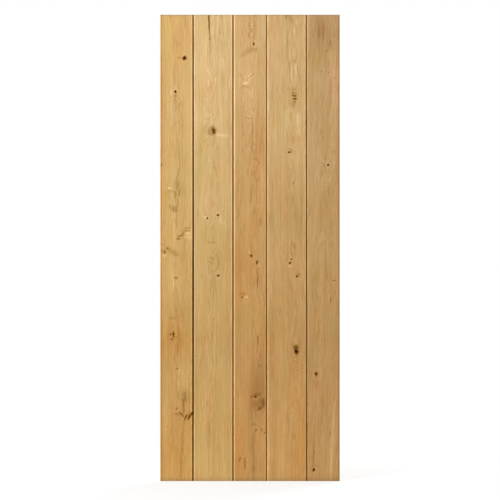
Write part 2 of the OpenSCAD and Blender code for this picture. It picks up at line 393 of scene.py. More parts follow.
BOARD_4 = Board(
    "board_4", (211, 167, 106), heart=566, bury=38, taper=0.02, pitch=4.8, seed=41,
    left=Edge(pale=0.8, groove=0.54), right=Edge(pale=0.5, groove=0.72),
    knots=[
        Knot(568, 1630, 16, 44, dark=0.0, swirl=9), Knot(548, 1397, 13, 10, dark=0.6, swirl=7),
        Knot(568, 1266, 5, 6, dark=0.4, swirl=3),
        Knot(551, 927, 10, 10, dark=0.85, swirl=6), Knot(557, 943, 8, 9, dark=0.5, swirl=2),
        Knot(581, 870, 11, 8, dark=0.85, swirl=6), Knot(589, 880, 6, 7, dark=0.35, swirl=2),
        Knot(578, 551, 16, 28, swirl=12, slant=-12), Knot(577, 567, 26, 26, dark=0.42, swirl=3),
    ],
    stains=[
        # The upright at 618 mm is painted shade beside the fourth joint, in its upper part
        *uprights(9, 0.65, (534, 2000, 1958)), *uprights(4, 0.75, (618, 2200, 1300)),
        *uprights(6, 0.4, (508, 745, 700), (556, 1966, 1942), (567, 1800, 1705)),
        *uprights(15, 0.22, (566, 206, 176), (577, 706, 664)),
        *levels(12, 0.8, (1648, 559, 578), (1611, 560, 577)), *levels(11, 0.3, (529, 568, 590)),
        *levels(10, 1.3, (1637, 558, 579), (1624, 558, 580)), *uprights(16, 0.4, (568, 1672, 1588)),
        *bends(16, 0.3, ((546, 1984), (556, 1960), (568, 1943))),
        *bends(6, 0.42, ((541, 1915), (540, 1845), (545, 1800), (549, 1755), (554, 1695))),
        *bends(6, 0.38, ((581, 1774), (587, 1736), (595, 1692))),
        *bends(5, 0.25, ((530, 1660), (546, 1668), (562, 1666), (578, 1658))),
        *bends(8, 0.5, ((569, 1794), (574, 1774)), ((541, 1413), (552, 1409), (564, 1398))),
        *bends(9, 0.33, ((561, 1464), (567, 1436)), ((543, 1336), (549, 1322)), ((560, 1012), (576, 986))),
    ],
    flecks=[
        *uprights(9, 0.35, (459, 2300, 500), (612, 2300, 700)), *uprights(9, 0.85, (459, 700, -600)),
        *uprights(18, 0.55, (585, 1566, 1496), (587, 1500, 1466)), *uprights(6, 1.0, (556, 1778, 1702)),
        *uprights(7, 0.8, (567, 1935, 1890), (577, 1960, 1935), (577, 1784, 1730)),
        *uprights(7, 0.4, (551, 1910, 1865), (576, 1270, 1258), (522, 1060, 1004), (563, 570, 556)),
        *levels(8, 0.4, (1334, 549, 561), (860, 584, 603)),
        *levels(9, 0.95, (912, 538, 564)), *bends(6, 1.0, ((546, 1842), (551, 1784))),
        *bends(8, 0.5, ((555, 1391), (563, 1365)), ((550, 300), (566, 306), (577, 298))),
    ],
    patches=[
        *washes("brown", (575, 1090, 60, 140, 0.2), (545, 1000, 180, 480, 0.15), (578, 562, 40, 56, 0.4)),
        *washes("orange", (600, 200, 60, 500, 0.7), (560, 130, 110, 260, 0.3)),
        *washes("pale", (482, 1450, 24, 120, 0.6), (530, 1490, 200, 280, 0.9), (565, 1745, 40, 110, 0.4)),
        *washes("olive", (516, 1560, 70, 130, 0.7), (568, 1630, 30, 70, 0.8)),
    ],
    ripples=(Ripple(585, 465, 40, 40, 13, 0.3, 20), Ripple(525, 128, 44, 26, 9, 0.3, 80)),
)

BOARD_5 = Board(
    "board_5", (203, 160, 103), heart=690, bury=60, taper=0.01, pitch=4.4, seed=53, lean=0.05,
    left=Edge(pale=1.2, groove=0.45, fade=((1100, 1.0), (1981, 0.4))), right=Edge(reach=7, shade=0.11),
    knots=[
        Knot(713, 1343, 9, 10, dark=0.85, swirl=6), Knot(737, 851, 14, 7, dark=0.3, swirl=4),
        Knot(662, 456, 14, 16, dark=0.75, swirl=8), Knot(652, 48, 11, 14, swirl=7),
    ],
    stains=[
        *uprights(14, 0.33, (724, 1872, 1832)), *uprights(7, 0.4, (715, 1742, 1730), (722, 214, 186)),
        *uprights(5, 0.45, (680, 1504, 1466), (727, 1024, 988), (625, 900, -600)),
        *uprights(7, 0.2, (723, 1115, 1065), (704, 925, 855), (671, 636, 596), (687, 290, 236)),
        *uprights(10, 0.42, (724, 786, 754)), *uprights(20, 0.2, (661, 450, 392)),
        *uprights(7, 0.3, (690, 350, 296)), *levels(6, 0.45, (1828, 702, 714), (65, 654, 674)),
        *levels(8, 0.33, (1712, 732, 746), (1400, 730, 744), (1740, 678, 688), (1333, 694, 704)),
        *bends(12, 0.36, ((671, 1985), (672, 1930), (674, 1878)), ((688, 1968), (691, 1925), (692, 1878))),
        *bends(9, 0.3, ((722, 1712), (723, 1650), (720, 1568)), ((727, 1066), (735, 1036))),
        *bends(9, 0.4, ((651, 184), (652, 120), (652, 58)), ((642, 68), (651, 59))),
    ],
    flecks=[
        *bends(13, 0.85, ((744, 350), (736, 270), (731, 190), (727, 110), (722, -10))),
        *uprights(5, 0.8, (686, 1300, 1230), (693, 1290, 1230), (722, 1302, 1264), (743, 1950, 1900)),
        *uprights(8, 0.8, (704, 1290, 1250), (717, 792, 764)), *bends(8, 1.2, ((693, 1362), (699, 1352))),
        *uprights(6, 0.42, (738, 1362, 1345), (735, 1450, 1415), (647, 904, 882)),
        *bends(6, 0.5, ((667, 473), (682, 483))),
    ],
    patches=[
        *washes("brown", (695, 1900, 150, 190, 0.6), (690, 1500, 150, 500, 0.1)),
        *washes("red", (755, 1600, 30, 700, 0.5), (662, 415, 40, 70, 0.3)),
        *washes("olive", (650, 1660, 60, 120, 0.6), (655, 1790, 50, 60, 0.7), (740, 640, 50, 90, 0.5)),
        *washes("pale", (690, 500, 150, 460, 0.6), (690, 980, 150, 260, 0.5)),
    ],
)

BOARDS = [BOARD_1, BOARD_2, BOARD_3, BOARD_4, BOARD_5]
LAST = len(BOARDS) - 1


# Fields of the wood, worked out at the points of a mesh


@dataclass
class Spots:
    """Points of a board in millimetres: across and up the leaf, and into it from the face."""

    x: np.ndarray
    z: np.ndarray
    depth: np.ndarray


HEIGHT_MM = LEAF_HEIGHT / MM
WANDER_WAVES = (1700, 760, 330, 140)
HEART_WANDER = 7.0
BURY_WANDER = 9.0
KNOT_LEAN = 0.35
KNOT_WAVES = ((2, 0.08), (3, 0.07), (5, 0.05))
SWIRL_REACH = 2.4
SWIRL_ROOM = 5.0
PINCH = 0.75
SKIN_MM = 8.0
DEPTH_SKEW = 1.7
SEED_SHIFT = 61.0
FAR_FROM_KNOT = -2.0
STREAK_POINT = 0.12
# How deep into a joint the painted shade of its bevels reaches, in millimetres
JOINT_MM = 16.0
# Width of the painted highlight beside an edge, in millimetres
EDGE_MM = 2.8
EDGE_RAMP_MM = 1.0
TOP_MM = 3.5
FOOT_MM = 14.0
BYTE_MOST = 255

# How far streaks waver, and the lengths of the slow and quick waves up and across the leaf
WOBBLE_MM = 0.7
WOBBLE_SLOW = (7.3, 5.1)
WOBBLE_QUICK = (3.1, 2.7)
WOBBLE_QUICK_SHARE = 0.6
WOBBLE_UP = 4.3

# Factors on the colour, in linear light: the painted highlight beside edges, the painted shade in bevels and
# joints, the darker ends, and a change up the leaf that is partly the wood's tint and partly painted light
# Painted highlight, pale and whitish, on the face beside the edges
PAINTED_EDGE_HIGHLIGHT = (1.30, 1.44, 1.74)
# Painted shade in the bevels and joint gaps, and on the face strip beside some edges
PAINTED_BEVEL_SHADE = (0.17, 0.08, 0.02)
DARK_TOP = (0.70, 0.74, 0.64)
DARK_FOOT = (0.78, 0.79, 0.88)
# Partly the wood's tint and partly painted light: darkest a little below the middle, lighter and whiter at
# the top
HEIGHT_TINTS_AND_PAINTED_LIGHT = [
    (0, (1.08, 1.05, 0.96)),
    (250, (0.99, 0.94, 0.85)),
    (600, (0.91, 0.87, 0.79)),
    (850, (0.96, 0.955, 0.91)),
    (1250, (0.985, 1.01, 1.03)),
    (1700, (1.08, 1.14, 1.29)),
]


def wander(z, seed):
    """A slow waving line up the board, about 1 high, made of a few long waves."""
    chance = np.random.default_rng(seed)
    total = np.zeros_like(z)
    for length in WANDER_WAVES:
        total += length / WANDER_WAVES[0] * np.sin(2 * math.pi * (z / length + chance.random()))
    return total


def bell(*parts):
    """1 where all the parts are 0, falling to 0 as they grow past 1."""
    return np.exp(-sum(part**2 for part in parts))


def near_face(spots):
    """1 on the face, falling to 0 inside the board."""
    return bell(spots.depth / SKIN_MM)


def knot_offsets(knot, spots):
    """Distances from a knot's centre line, which climbs as it runs into the board."""
    return spots.x - knot.x, spots.z - knot.z - KNOT_LEAN * spots.depth


def knot_bell(knot, spots):
    """1 at a knot, falling to 0 where the rings run straight again."""
    dx, dz = knot_offsets(knot, spots)
    reach_x = SWIRL_REACH * knot.across / 2 + SWIRL_ROOM
    reach_z = SWIRL_REACH * knot.along / 2 + SWIRL_ROOM
    return bell(dx / reach_x, dz / reach_z)


def grain_field(board, spots):
    """Ring number, place across the fibres and place along them, all bent round the knots."""
    rise = spots.z - HEIGHT_MM / 2
    heart = board.heart + board.lean * rise + HEART_WANDER * wander(spots.z, board.seed)
    bury = board.bury + board.taper * rise + BURY_WANDER * wander(spots.z, board.seed + 1)
    radius = np.hypot(spots.x - heart, bury - spots.depth)
    across = spots.x + DEPTH_SKEW * spots.depth - board.lean * rise
    for knot in board.knots:
        close = knot_bell(knot, spots)
        radius = radius + knot.swirl * close
        across = across - PINCH * (spots.x - knot.x) * close
    shift = board.seed * SEED_SHIFT
    return np.stack([radius / board.pitch + board.seed, across + shift, spots.z + shift], axis=1)


def knot_field(board, spots):
    """How far inside a knot a point is (1 in its middle, 0 at its rim), and how dark that knot is."""
    best = np.full_like(spots.x, FAR_FROM_KNOT)
    dark = np.zeros_like(spots.x)
    for number, knot in enumerate(board.knots):
        if knot.dark <= 0:
            continue
        dx, dz = knot_offsets(knot, spots)
        slant = math.radians(knot.slant)
        over = dx * math.cos(slant) - dz * math.sin(slant)
        up = dx * math.sin(slant) + dz * math.cos(slant)
        turn = np.arctan2(up, over)
        distance = np.hypot(2 * over / knot.across, 2 * up / knot.along)
        for count, reach in KNOT_WAVES:
            distance = distance * (1 + reach * np.sin(count * turn + board.seed + count * number))
        inside = 1 - distance
        dark = np.where(inside > best, knot.dark, dark)
        best = np.maximum(best, inside)
    return best, dark


def reach_to_path(spots, path):
    """Distance in millimetres from each point to a path, and how far along the path that is, from 0 to 1."""
    lengths = [math.dist(start, end) for start, end in zip(path, path[1:])]
    best = np.full_like(spots.x, np.inf)
    place = np.zeros_like(spots.x)
    passed = 0.0
    for (x0, z0), (x1, z1), length in zip(path, path[1:], lengths):
        share = ((spots.x - x0) * (x1 - x0) + (spots.z - z0) * (z1 - z0)) / length**2
        share = np.clip(share, 0, 1)
        distance = np.hypot(spots.x - x0 - share * (x1 - x0), spots.z - z0 - share * (z1 - z0))
        nearer = distance < best
        best = np.where(nearer, distance, best)
        place = np.where(nearer, (passed + share * length) / sum(lengths), place)
        passed += length
    return best, place


def wobbled(spots):
    """The points moved a little to and fro, so that lines drawn on them waver."""
    slow = np.sin(spots.z / WOBBLE_SLOW[0] + spots.x / WOBBLE_SLOW[1])
    quick = np.sin(spots.z / WOBBLE_QUICK[0] - spots.x / WOBBLE_QUICK[1])
    over = slow + WOBBLE_QUICK_SHARE * quick
    up = np.sin(spots.x / WOBBLE_UP)
    return Spots(spots.x + WOBBLE_MM * over, spots.z + WOBBLE_MM * up, spots.depth)


def streak_field(streaks, spots):
    """How strongly the streaks show at each point."""
    total = np.zeros_like(spots.x)
    moved = wobbled(spots)
    for streak in streaks:
        distance, place = reach_to_path(moved, streak.path)
        taper = np.maximum(np.sqrt(4 * place * (1 - place)), STREAK_POINT)
        line = bell(2 * distance / (streak.width * taper))
        total = np.maximum(total, streak.strength * line)
    return total


def oval_bell(mark, spots):
    """1 in the middle of a patch or a ripple, falling to 0 outside it."""
    return bell(2 * (spots.x - mark.x) / mark.across, 2 * (spots.z - mark.z) / mark.along)


def ripple_field(ripples, spots):
    """Waves between -1 and 1 inside each ripple's oval."""
    total = np.zeros_like(spots.x)
    moved = wobbled(spots)
    for ripple in ripples:
        turn = math.radians(ripple.turn)
        run = (moved.z - ripple.z) * math.cos(turn) + (moved.x - ripple.x) * math.sin(turn)
        total += ripple.strength * oval_bell(ripple, spots) * np.sin(2 * math.pi * run / ripple.pitch)
    return total


def linear_colour(colour):
    """Linear values of an 8-bit sRGB colour."""
    return np.array(Color([part / BYTE_MOST for part in colour]).from_srgb_to_scene_linear())


def toward(tint, share):
    """Factors that go from 1 to a tint as a share goes from 0 to 1."""
    return 1 + share[:, None] * (np.array(tint) - 1)


def height_factors(spots):
    """The slow change of colour up the leaf: partly the wood's tint, and partly painted light that is darkest
    a little below the middle and makes the top lighter and whiter.
    """
    heights, tints = zip(*HEIGHT_TINTS_AND_PAINTED_LIGHT)
    return np.stack([np.interp(spots.z, heights, part) for part in zip(*tints)], axis=1)


def groove_shade(edge, spots):
    """How strong the painted shade in the bevel of an edge is at each point's height."""
    heights, shares = zip(*edge.fade)
    return edge.groove * np.interp(spots.z, heights, shares)


def edge_fields(number, spots):
    """Factors for the painted highlight beside edges, the painted shade in the bevels and joints and the
    darker ends, and how much of its shine each point keeps.
    """
    board = BOARDS[number]
    left, right = face_span(number)
    skin = near_face(spots)
    joint = bell(spots.depth / JOINT_MM)
    top = bell((HEIGHT_MM - spots.z) / TOP_MM)
    foot = bell(spots.z / FOOT_MM)
    factors = toward(DARK_TOP, top) * toward(DARK_FOOT, foot)
    shine = 1 - top
    for edge, inward in ((board.left, spots.x - left), (board.right, right - spots.x)):
        beyond = inward - edge.reach
        # Painted shade: the bevel, the joint gap and a strip of the face as far as the reach are darkened
        # where shade would fall
        darkened = np.clip(0.5 - beyond / EDGE_RAMP_MM, 0, 1)
        dark = np.where(inward < 0, groove_shade(edge, spots), edge.shade) * darkened * joint
        # Painted highlight: a pale, whitish line on the face just past the shaded strip
        highlit = bell(np.maximum(beyond, 0) / EDGE_MM) * (1 - dark) * skin
        factors = factors * np.power(PAINTED_BEVEL_SHADE, dark[:, None]) * toward(PAINTED_EDGE_HIGHLIGHT, edge.pale * highlit)
        shine = shine * np.where(inward < 0, 0, 1 - dark)
    return factors, shine


def tone_fields(number, spots):
    """The board's colour with its patches, its painted edge highlights and shade, and its change up the leaf
    that is partly painted light, as linear red, green, blue and 1, and its shine.
    """
    board = BOARDS[number]
    factors, shine = edge_fields(number, spots)
    tone = linear_colour(board.colour) * height_factors(spots) * factors
    for patch in board.patches:
        tone *= toward(TINTS[patch.tint], patch.strength * oval_bell(patch, spots) * near_face(spots))
    return np.concatenate([tone, np.ones((len(tone), 1))], axis=1), shine


def mark_fields(board, spots):
    """The knots, the dark stains and the light flecks, and then how dark each knot is."""
    skin = near_face(spots)
    waves = ripple_field(board.ripples, spots)
    stain = (streak_field(board.stains, spots) + np.maximum(waves, 0)) * skin
    fleck = (streak_field(board.flecks, spots) + np.maximum(-waves, 0)) * skin
    knot, dark = knot_field(board, spots)
    return np.stack([knot, stain, fleck], axis=1), dark


# Meshes of the boards

HOLLOW_FROM = 0.35
HOLLOW_DEPTH = 1.6 * MM
SPLIT_POWER = 4
SPLIT_LEAST = 0.007 * MM
FACE_SLACK = 0.05 * MM


def eased(corners, ease):
    """The closed outline with each corner cut into three points."""
    points = []
    for index, corner in enumerate(corners):
        here = np.array(corner)
        before = np.array(corners[index - 1]) - here
        after = np.array(corners[(index + 1) % len(corners)]) - here
        start = here + before * min(ease / np.linalg.norm(before), EASE_MOST)
        end = here + after * min(ease / np.linalg.norm(after), EASE_MOST)
        points += [start, (start + 2 * here + end) / 4, end]
    return points


def tongue_corners(x):
    """Corners of the tongue on a board's right edge, from its front to its back."""
    middle = (FACE_Y + SEAT_Y) / 2
    half = TONGUE_T / 2
    tip = x + TONGUE_L
    return [
        (x, middle - half), (tip - TONGUE_NOSE, middle - half), (tip, middle - half + TONGUE_NOSE),
        (tip, middle + half - TONGUE_NOSE), (tip - TONGUE_NOSE, middle + half), (x, middle + half),
    ]


def groove_corners(x, depth):
    """Corners of the groove in a board's left edge, from its back to its front."""
    middle = (FACE_Y + SEAT_Y) / 2
    half = TONGUE_T / 2 + TONGUE_CLEAR
    return [(x, middle + half), (x + depth, middle + half), (x + depth, middle - half), (x, middle - half)]


def board_sides(number):
    """Where a board's long edges lie without its tongue, and how wide the bevel on each one is."""
    low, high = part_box(BOARDS[number].node)
    if number == LAST:
        return low.x, high.x, BEVEL, ARRIS
    return low.x, high.x - TONGUE_L, BEVEL if number else ARRIS, BEVEL


def face_span(number):
    """Where a board's flat face starts and ends, in millimetres from the left edge of the leaf."""
    left, right, left_bevel, right_bevel = board_sides(number)
    return (left + left_bevel - LEAF_LEFT) / MM, (right - right_bevel - LEAF_LEFT) / MM


def board_corners(number):
    """Corners of a board's section, from the left end of its face round past its tongue, back and groove."""
    left, right, left_bevel, right_bevel = board_sides(number)
    corners = [(left + left_bevel, FACE_Y), (right - right_bevel, FACE_Y), (right, FACE_Y + right_bevel)]
    if number < LAST:
        corners += tongue_corners(right)
    corners += [(right, SEAT_Y - right_bevel), (right - right_bevel, SEAT_Y)]
    corners += [(left + left_bevel, SEAT_Y), (left, SEAT_Y - left_bevel)]
    if number > 0:
        gap = left - (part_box(BOARDS[number - 1].node)[1].x - TONGUE_L)
        corners += groove_corners(left, TONGUE_L - gap + GROOVE_SPARE)
    corners.append((left, FACE_Y + left_bevel))
    return corners


def spaced(start, end, step):
    """Points between start and end, without the ends, about a step apart."""
    count = max(int(round(abs(end - start) / step)), 1)
    return list(np.linspace(start, end, count + 1)[1:-1])


def thinned(values, least):
    """The values in order, without those that follow another too closely."""
    kept = []
    for value in sorted(values):
        if not kept or value - kept[-1] >= least:
            kept.append(value)
    return kept


def is_checked(board):
    """Whether a board has the split in its top end."""
    return board.node == "board_2"


def check_middle(z):
    """Where the middle of the split lies at a height."""
    share = np.clip((LEAF_HEIGHT - z) / CHECK_L, 0, 1)
    return CHECK_X + share * CHECK_DRIFT


def face_columns(board, start, end):
    """Places across a face, closer together at its edges and at the split."""
    columns = spaced(start, end, COLUMN_STEP)
    columns += spaced(start, start + EDGE_ROOM, EDGE_STEP)
    columns += spaced(end - EDGE_ROOM, end, EDGE_STEP)
    if is_checked(board):
        columns += spaced(CHECK_X - CHECK_W, CHECK_X + CHECK_DRIFT + CHECK_W, CHECK_STEP)
    inner = [x for x in columns if start + LEAST_COLUMN < x < end - LEAST_COLUMN]
    return thinned(inner, LEAST_COLUMN)


def section_points(number):
    """A board's section with the points that its face and back need."""
    board = BOARDS[number]
    points = []
    outline = eased(board_corners(number), EDGE_EASE)
    for index, point in enumerate(outline):
        points.append(tuple(point))
        following = outline[(index + 1) % len(outline)]
        run = following[0] - point[0]
        flat = abs(following[1] - point[1]) < FACE_SLACK
        on_face = abs(point[1] - FACE_Y) < FACE_SLACK
        on_back = abs(point[1] - SEAT_Y) < FACE_SLACK
        if flat and on_face and run > BACK_STEP:
            points += [(x, FACE_Y) for x in face_columns(board, point[0], following[0])]
        elif flat and on_back and -run > BACK_STEP:
            points += [(x, SEAT_Y) for x in spaced(point[0], following[0], BACK_STEP)]
    return np.array(points)


def end_rows():
    """Heights and insets of the rows that round the ends of a board."""
    turns = np.linspace(0, math.pi / 2, END_STEPS)
    return [(ARRIS * (1 - math.cos(turn)), ARRIS * (1 - math.sin(turn))) for turn in turns]


def row_heights(board):
    """Heights of the rows between the rounded ends, closer together at the knots."""
    low, high = ARRIS, LEAF_HEIGHT - ARRIS
    heights = spaced(low, high, ROW_STEP)
    for knot in board.knots:
        half = knot.along * MM / 2 + FINE_MARGIN
        start = max(knot.z * MM - half, low)
        end = min(knot.z * MM + half, high)
        heights += spaced(start, end, FINE_STEP)
    inner = [z for z in heights if low + LEAST_ROW < z < high - LEAST_ROW]
    return thinned(inner, LEAST_ROW)


def swept_rows(board, section):
    """One row of points for each height, from the bottom to the top of the board."""
    ends = end_rows()
    heights = ends + [(z, 0.0) for z in row_heights(board)]
    heights += [(LEAF_HEIGHT - z, inset) for z, inset in reversed(ends)]
    rows = []
    for z, inset in heights:
        depth = np.clip(section[:, 1], FACE_Y + inset, SEAT_Y - inset)
        rows.append(np.stack([section[:, 0], depth, np.full(len(section), z)], axis=1))
    return np.array(rows)


def spots_of(points):
    """The points as millimetres on the leaf."""
    return Spots((points[:, 0] - LEAF_LEFT) / MM, points[:, 2] / MM, (points[:, 1] - FACE_Y) / MM)


def hollow_out(board, points):
    """Sinks the face into the black knots and into the split."""
    spots = spots_of(points)
    on_face = points[:, 1] < FACE_Y + ARRIS + FACE_SLACK
    knot, dark = knot_field(board, spots)
    sunk = np.clip((knot - HOLLOW_FROM) / (1 - HOLLOW_FROM), 0, 1)
    depth = HOLLOW_DEPTH * dark * np.sqrt(sunk)
    if is_checked(board):
        half = CHECK_W / 2 * np.clip(1 - (LEAF_HEIGHT - points[:, 2]) / CHECK_L, 0, 1)
        away = np.abs(points[:, 0] - check_middle(points[:, 2]))
        inside = (half > 0) & (away < half)
        split = np.where(inside, 1 - (away / np.maximum(half, SPLIT_LEAST)) ** SPLIT_POWER, 0)
        depth = np.maximum(depth, CHECK_DEPTH * split)
    points[:, 1] += np.where(on_face, depth, 0)


def slice_ends(made, ends):
    """Cuts the two end faces into small ones, so that they can show end grain."""
    corners = [corner.co for face in ends for corner in face.verts]
    low_x = min(corner.x for corner in corners)
    high_x = max(corner.x for corner in corners)
    cuts = [(Vector((x, 0, 0)), Vector((1, 0, 0))) for x in spaced(low_x, high_x, END_SLICE_X)]
    cuts += [(Vector((0, y, 0)), Vector((0, 1, 0))) for y in spaced(FACE_Y, SEAT_Y, END_SLICE_Y)]
    pieces = list(ends)
    pieces += list({edge for face in ends for edge in face.edges})
    pieces += list({corner for face in ends for corner in face.verts})
    for place, way in cuts:
        pieces = bmesh.ops.bisect_plane(made, geom=pieces, plane_co=place, plane_no=way)["geom"]


def board_mesh(number):
    """The closed mesh of a board: its section swept up the leaf, with hollows and sliced ends."""
    board = BOARDS[number]
    section = section_points(number)
    rows = swept_rows(board, section)
    count = len(section)
    points = rows.reshape(-1, 3)
    hollow_out(board, points)
    faces = []
    for row in range(len(rows) - 1):
        base = row * count
        for place in range(count):
            following = (place + 1) % count
            faces.append((base + place, base + following, base + count + following, base + count + place))
    faces.append(tuple(reversed(range(count))))
    top = (len(rows) - 1) * count
    faces.append(tuple(range(top, top + count)))
    mesh = bpy.data.meshes.new(board.node + "_oak")
    mesh.from_pydata(points.tolist(), [], faces)
    made = bmesh.new()
    made.from_mesh(mesh)
    made.faces.ensure_lookup_table()
    slice_ends(made, [made.faces[-2], made.faces[-1]])
    made.to_mesh(mesh)
    made.free()
    return mesh


def write_attribute(mesh, name, kind, key, values):
    """Writes one value or vector for each point of a mesh."""
    layer = mesh.attributes.new(name, kind, "POINT")
    layer.data.foreach_set(key, np.ascontiguousarray(values, dtype=np.float32).ravel())


SHARP_ANGLE = math.radians(40)


def make_board(number, oak):
    """A board with its wood written on its points."""
    board = BOARDS[number]
    mesh = board_mesh(number)
    points = np.empty(len(mesh.vertices) * 3)
    mesh.vertices.foreach_get("co", points)
    spots = spots_of(points.reshape(-1, 3))
    tone, shine = tone_fields(number, spots)
    marks, dark = mark_fields(board, spots)
    finish = np.stack([dark, shine, np.zeros_like(dark)], axis=1)
    write_attribute(mesh, "grain", "FLOAT_VECTOR", "vector", grain_field(board, spots))
    # The tone carries the wood's colour together with the painted highlight and shade at the edges and the
    # painted light of the change up the leaf
    write_attribute(mesh, "tone", "FLOAT_COLOR", "color", tone)
    write_attribute(mesh, "marks", "FLOAT_VECTOR", "vector", marks)
    write_attribute(mesh, "finish", "FLOAT_VECTOR", "vector", finish)
    mesh.materials.append(oak)
    mesh.shade_smooth()
    mesh.set_sharp_from_angle(angle=SHARP_ANGLE)
    piece = bpy.data.objects.new(board.node + "_face", mesh)
    bpy.context.scene.collection.objects.link(piece)
    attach(piece, BODY)
    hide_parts(board.node)


# Materials

# Sockets of a mix node that take and give colours
MIX_FIRST = 6
MIX_SECOND = 7
MIX_RESULT = 2


class Maker:
    """Short calls that build the nodes of one material, or of the world."""

    def __init__(self, owner, output, shader):
        owner.use_nodes = True
        self.owner = owner
        self.tree = owner.node_tree
        self.tree.nodes.clear()
        self.shader = self.node(shader)
        self.feed(self.node(output).inputs["Surface"], self.shader.outputs[0])

    def node(self, kind, **settings):
        """A new shader node of a kind, with its settings."""
        made = self.tree.nodes.new("ShaderNode" + kind)
        for name, value in settings.items():
            setattr(made, name, value)
        return made

    def feed(self, socket, value):
        """Links a socket to another node's output, or sets it to a value."""
        if isinstance(value, bpy.types.NodeSocket):
            self.tree.links.new(value, socket)
        else:
            socket.default_value = value

    def look(self, name, value):
        """Feeds one input of the shader."""
        self.feed(self.shader.inputs[name], value)

    def joined(self, kind, *values, **settings):
        """The first output of a new node that takes these values in order."""
        made = self.node(kind, **settings)
        for socket, value in zip(made.inputs, values):
            self.feed(socket, value)
        return made.outputs[0]

    def attribute(self, name, output="Vector"):
        return self.node("Attribute", attribute_name=name).outputs[output]

    def parts(self, vector):
        """The three numbers of a vector."""
        split = self.node("SeparateXYZ")
        self.feed(split.inputs[0], vector)
        return tuple(split.outputs)

    def vector(self, x, y, z):
        return self.joined("CombineXYZ", x, y, z)

    def math(self, operation, *values, clamp=False):
        return self.joined("Math", *values, operation=operation, use_clamp=clamp)

    def times(self, first, second, clamp=False):
        return self.math("MULTIPLY", first, second, clamp=clamp)

    def times_plus(self, first, second, third):
        """The first value times the second, plus the third."""
        return self.math("MULTIPLY_ADD", first, second, third)

    def stretched(self, vector, scale):
        return self.joined("VectorMath", vector, scale, operation="MULTIPLY")

    def noise(self, vector, scale, detail=2.0, roughness=0.5):
        """Noise from 0 to 1, about 0.5 on average, with its own scale on each axis."""
        made = self.node("TexNoise")
        self.feed(made.inputs["Vector"], self.stretched(vector, scale))
        self.feed(made.inputs["Scale"], 1.0)
        self.feed(made.inputs["Detail"], detail)
        self.feed(made.inputs["Roughness"], roughness)
        return made.outputs[0]

    def even(self, noise):
        """Noise moved so that it is about 0 on average."""
        return self.math("ADD", noise, -0.5)

    def between(self, value, span, first=0.0, last=1.0):
        """A smooth step from first at the low end of a span to last at its high end."""
        return self.joined("MapRange", value, *span, first, last, interpolation_type="SMOOTHSTEP")

    def mixed(self, share, first, second, way="MIX"):
        """Two colours mixed by a share."""
        made = self.node("Mix", data_type="RGBA", blend_type=way)
        self.feed(made.inputs["Factor"], share)
        self.feed(made.inputs[MIX_FIRST], first)
        self.feed(made.inputs[MIX_SECOND], second)
        return made.outputs[MIX_RESULT]

    def tinted(self, share, colour, tint):
        """A colour times a tint, as far as a share says."""
        return self.mixed(share, colour, tint, "MULTIPLY")

    def bumped(self, height, strength, distance):
        made = self.node("Bump")
        self.feed(made.inputs["Height"], height)
        self.feed(made.inputs["Strength"], strength)
        self.feed(made.inputs["Distance"], distance)
        self.look("Normal", made.outputs[0])


def material_maker(name, shader="BsdfPrincipled"):
    return Maker(bpy.data.materials.new(name), "OutputMaterial", shader)


# Noise scales are for a grain vector of ring number, millimetres across and millimetres along
WARP_SCALE = (0.0, 0.022, 0.016)
WARP_MM = 14.0
WAVER_SCALE = (0.0, 0.045, 0.007)
WAVER_RINGS = 1.3
BAND_SCALE = (0.16, 0.028, 0.0011)
STREAK_SCALE = (0.0, 0.13, 0.0028)
FLAME_SCALE = (0.0, 0.20, 0.014)
FIBRE_SCALE = (0.0, 0.85, 0.016)
PORE_SCALE = (0.0, 2.3, 0.07)
PATCH_SCALE = (0.0, 0.012, 0.0045)
CALM_SCALE = (0.0, 0.020, 0.007)
HUE_SCALE = (0.0, 0.021, 0.006)
BROKEN_SCALE = (0.0, 0.30, 0.035)

RING_WEIGHT = 0.22
BAND_WEIGHT = 0.5
STREAK_WEIGHT = 0.6
FLAME_WEIGHT = 0.75
FIBRE_WEIGHT = 0.6
PORE_WEIGHT = 0.42
PATCH_WEIGHT = 0.45

# Spans of a ring, a noise, a stain or a knot over which something comes or goes
RING_RISE = (0.0, 0.45)
RING_FALL = (0.86, 1.0)
RING_MIDDLE = 0.6
RING_LEAST = 0.35
PORE_SPAN = (0.60, 0.70)
CALM_SPAN = (0.35, 0.65)
CALM_LEAST = 0.5
CALM_MOST = 1.35
HUE_SPAN = (0.3, 0.7)
RAGGED_SPAN = (0.35, 0.65)
RAGGED_LEAST = 0.55
RAGGED_MOST = 1.2
SOOT_SPAN = (0.8, 1.6)
KNOT_BREAK = 0.6
PALE_START = (-1.8, -1.0)
PALE_END = (-0.7, -0.2)
PALE_SHARE = 0.22
HALO_SPAN = (-0.8, 0.1)
HALO_SHARE = 0.8
RIM_SPAN = (-0.25, 0.3)
CORE_SPAN = (0.15, 0.6)
END_SPAN = (0.6, 0.9)
X_AXIS = 0
Z_AXIS = 2

DARK_WOOD = (0.75, 0.66, 0.44, 1)
LIGHT_WOOD = (1.26, 1.34, 1.62, 1)
RED_WOOD = (1.02, 0.99, 0.96, 1)
GREEN_WOOD = (0.98, 1.01, 1.02, 1)
STAIN_TINT = (0.45, 0.27, 0.05, 1)
SOOT_TINT = (0.25, 0.25, 0.25, 1)
FLECK_TINT = (1.32, 1.42, 1.65, 1)
HALO_TINT = (0.66, 0.50, 0.26, 1)
RIM_COLOUR = (0.17, 0.062, 0.003, 1)
CORE_COLOUR = (0.036, 0.010, 0.0005, 1)
END_TINT = (0.62, 0.54, 0.44, 1)

ROUGHEST = 0.16
BOARD_ROUGH = 0.46
CORE_ROUGH = 0.35
BOARD_SPECULAR = 0.18
PORE_DEPTH = -0.6
BUMP_STRENGTH = 0.25
BUMP_HEIGHT = 0.25 * MM


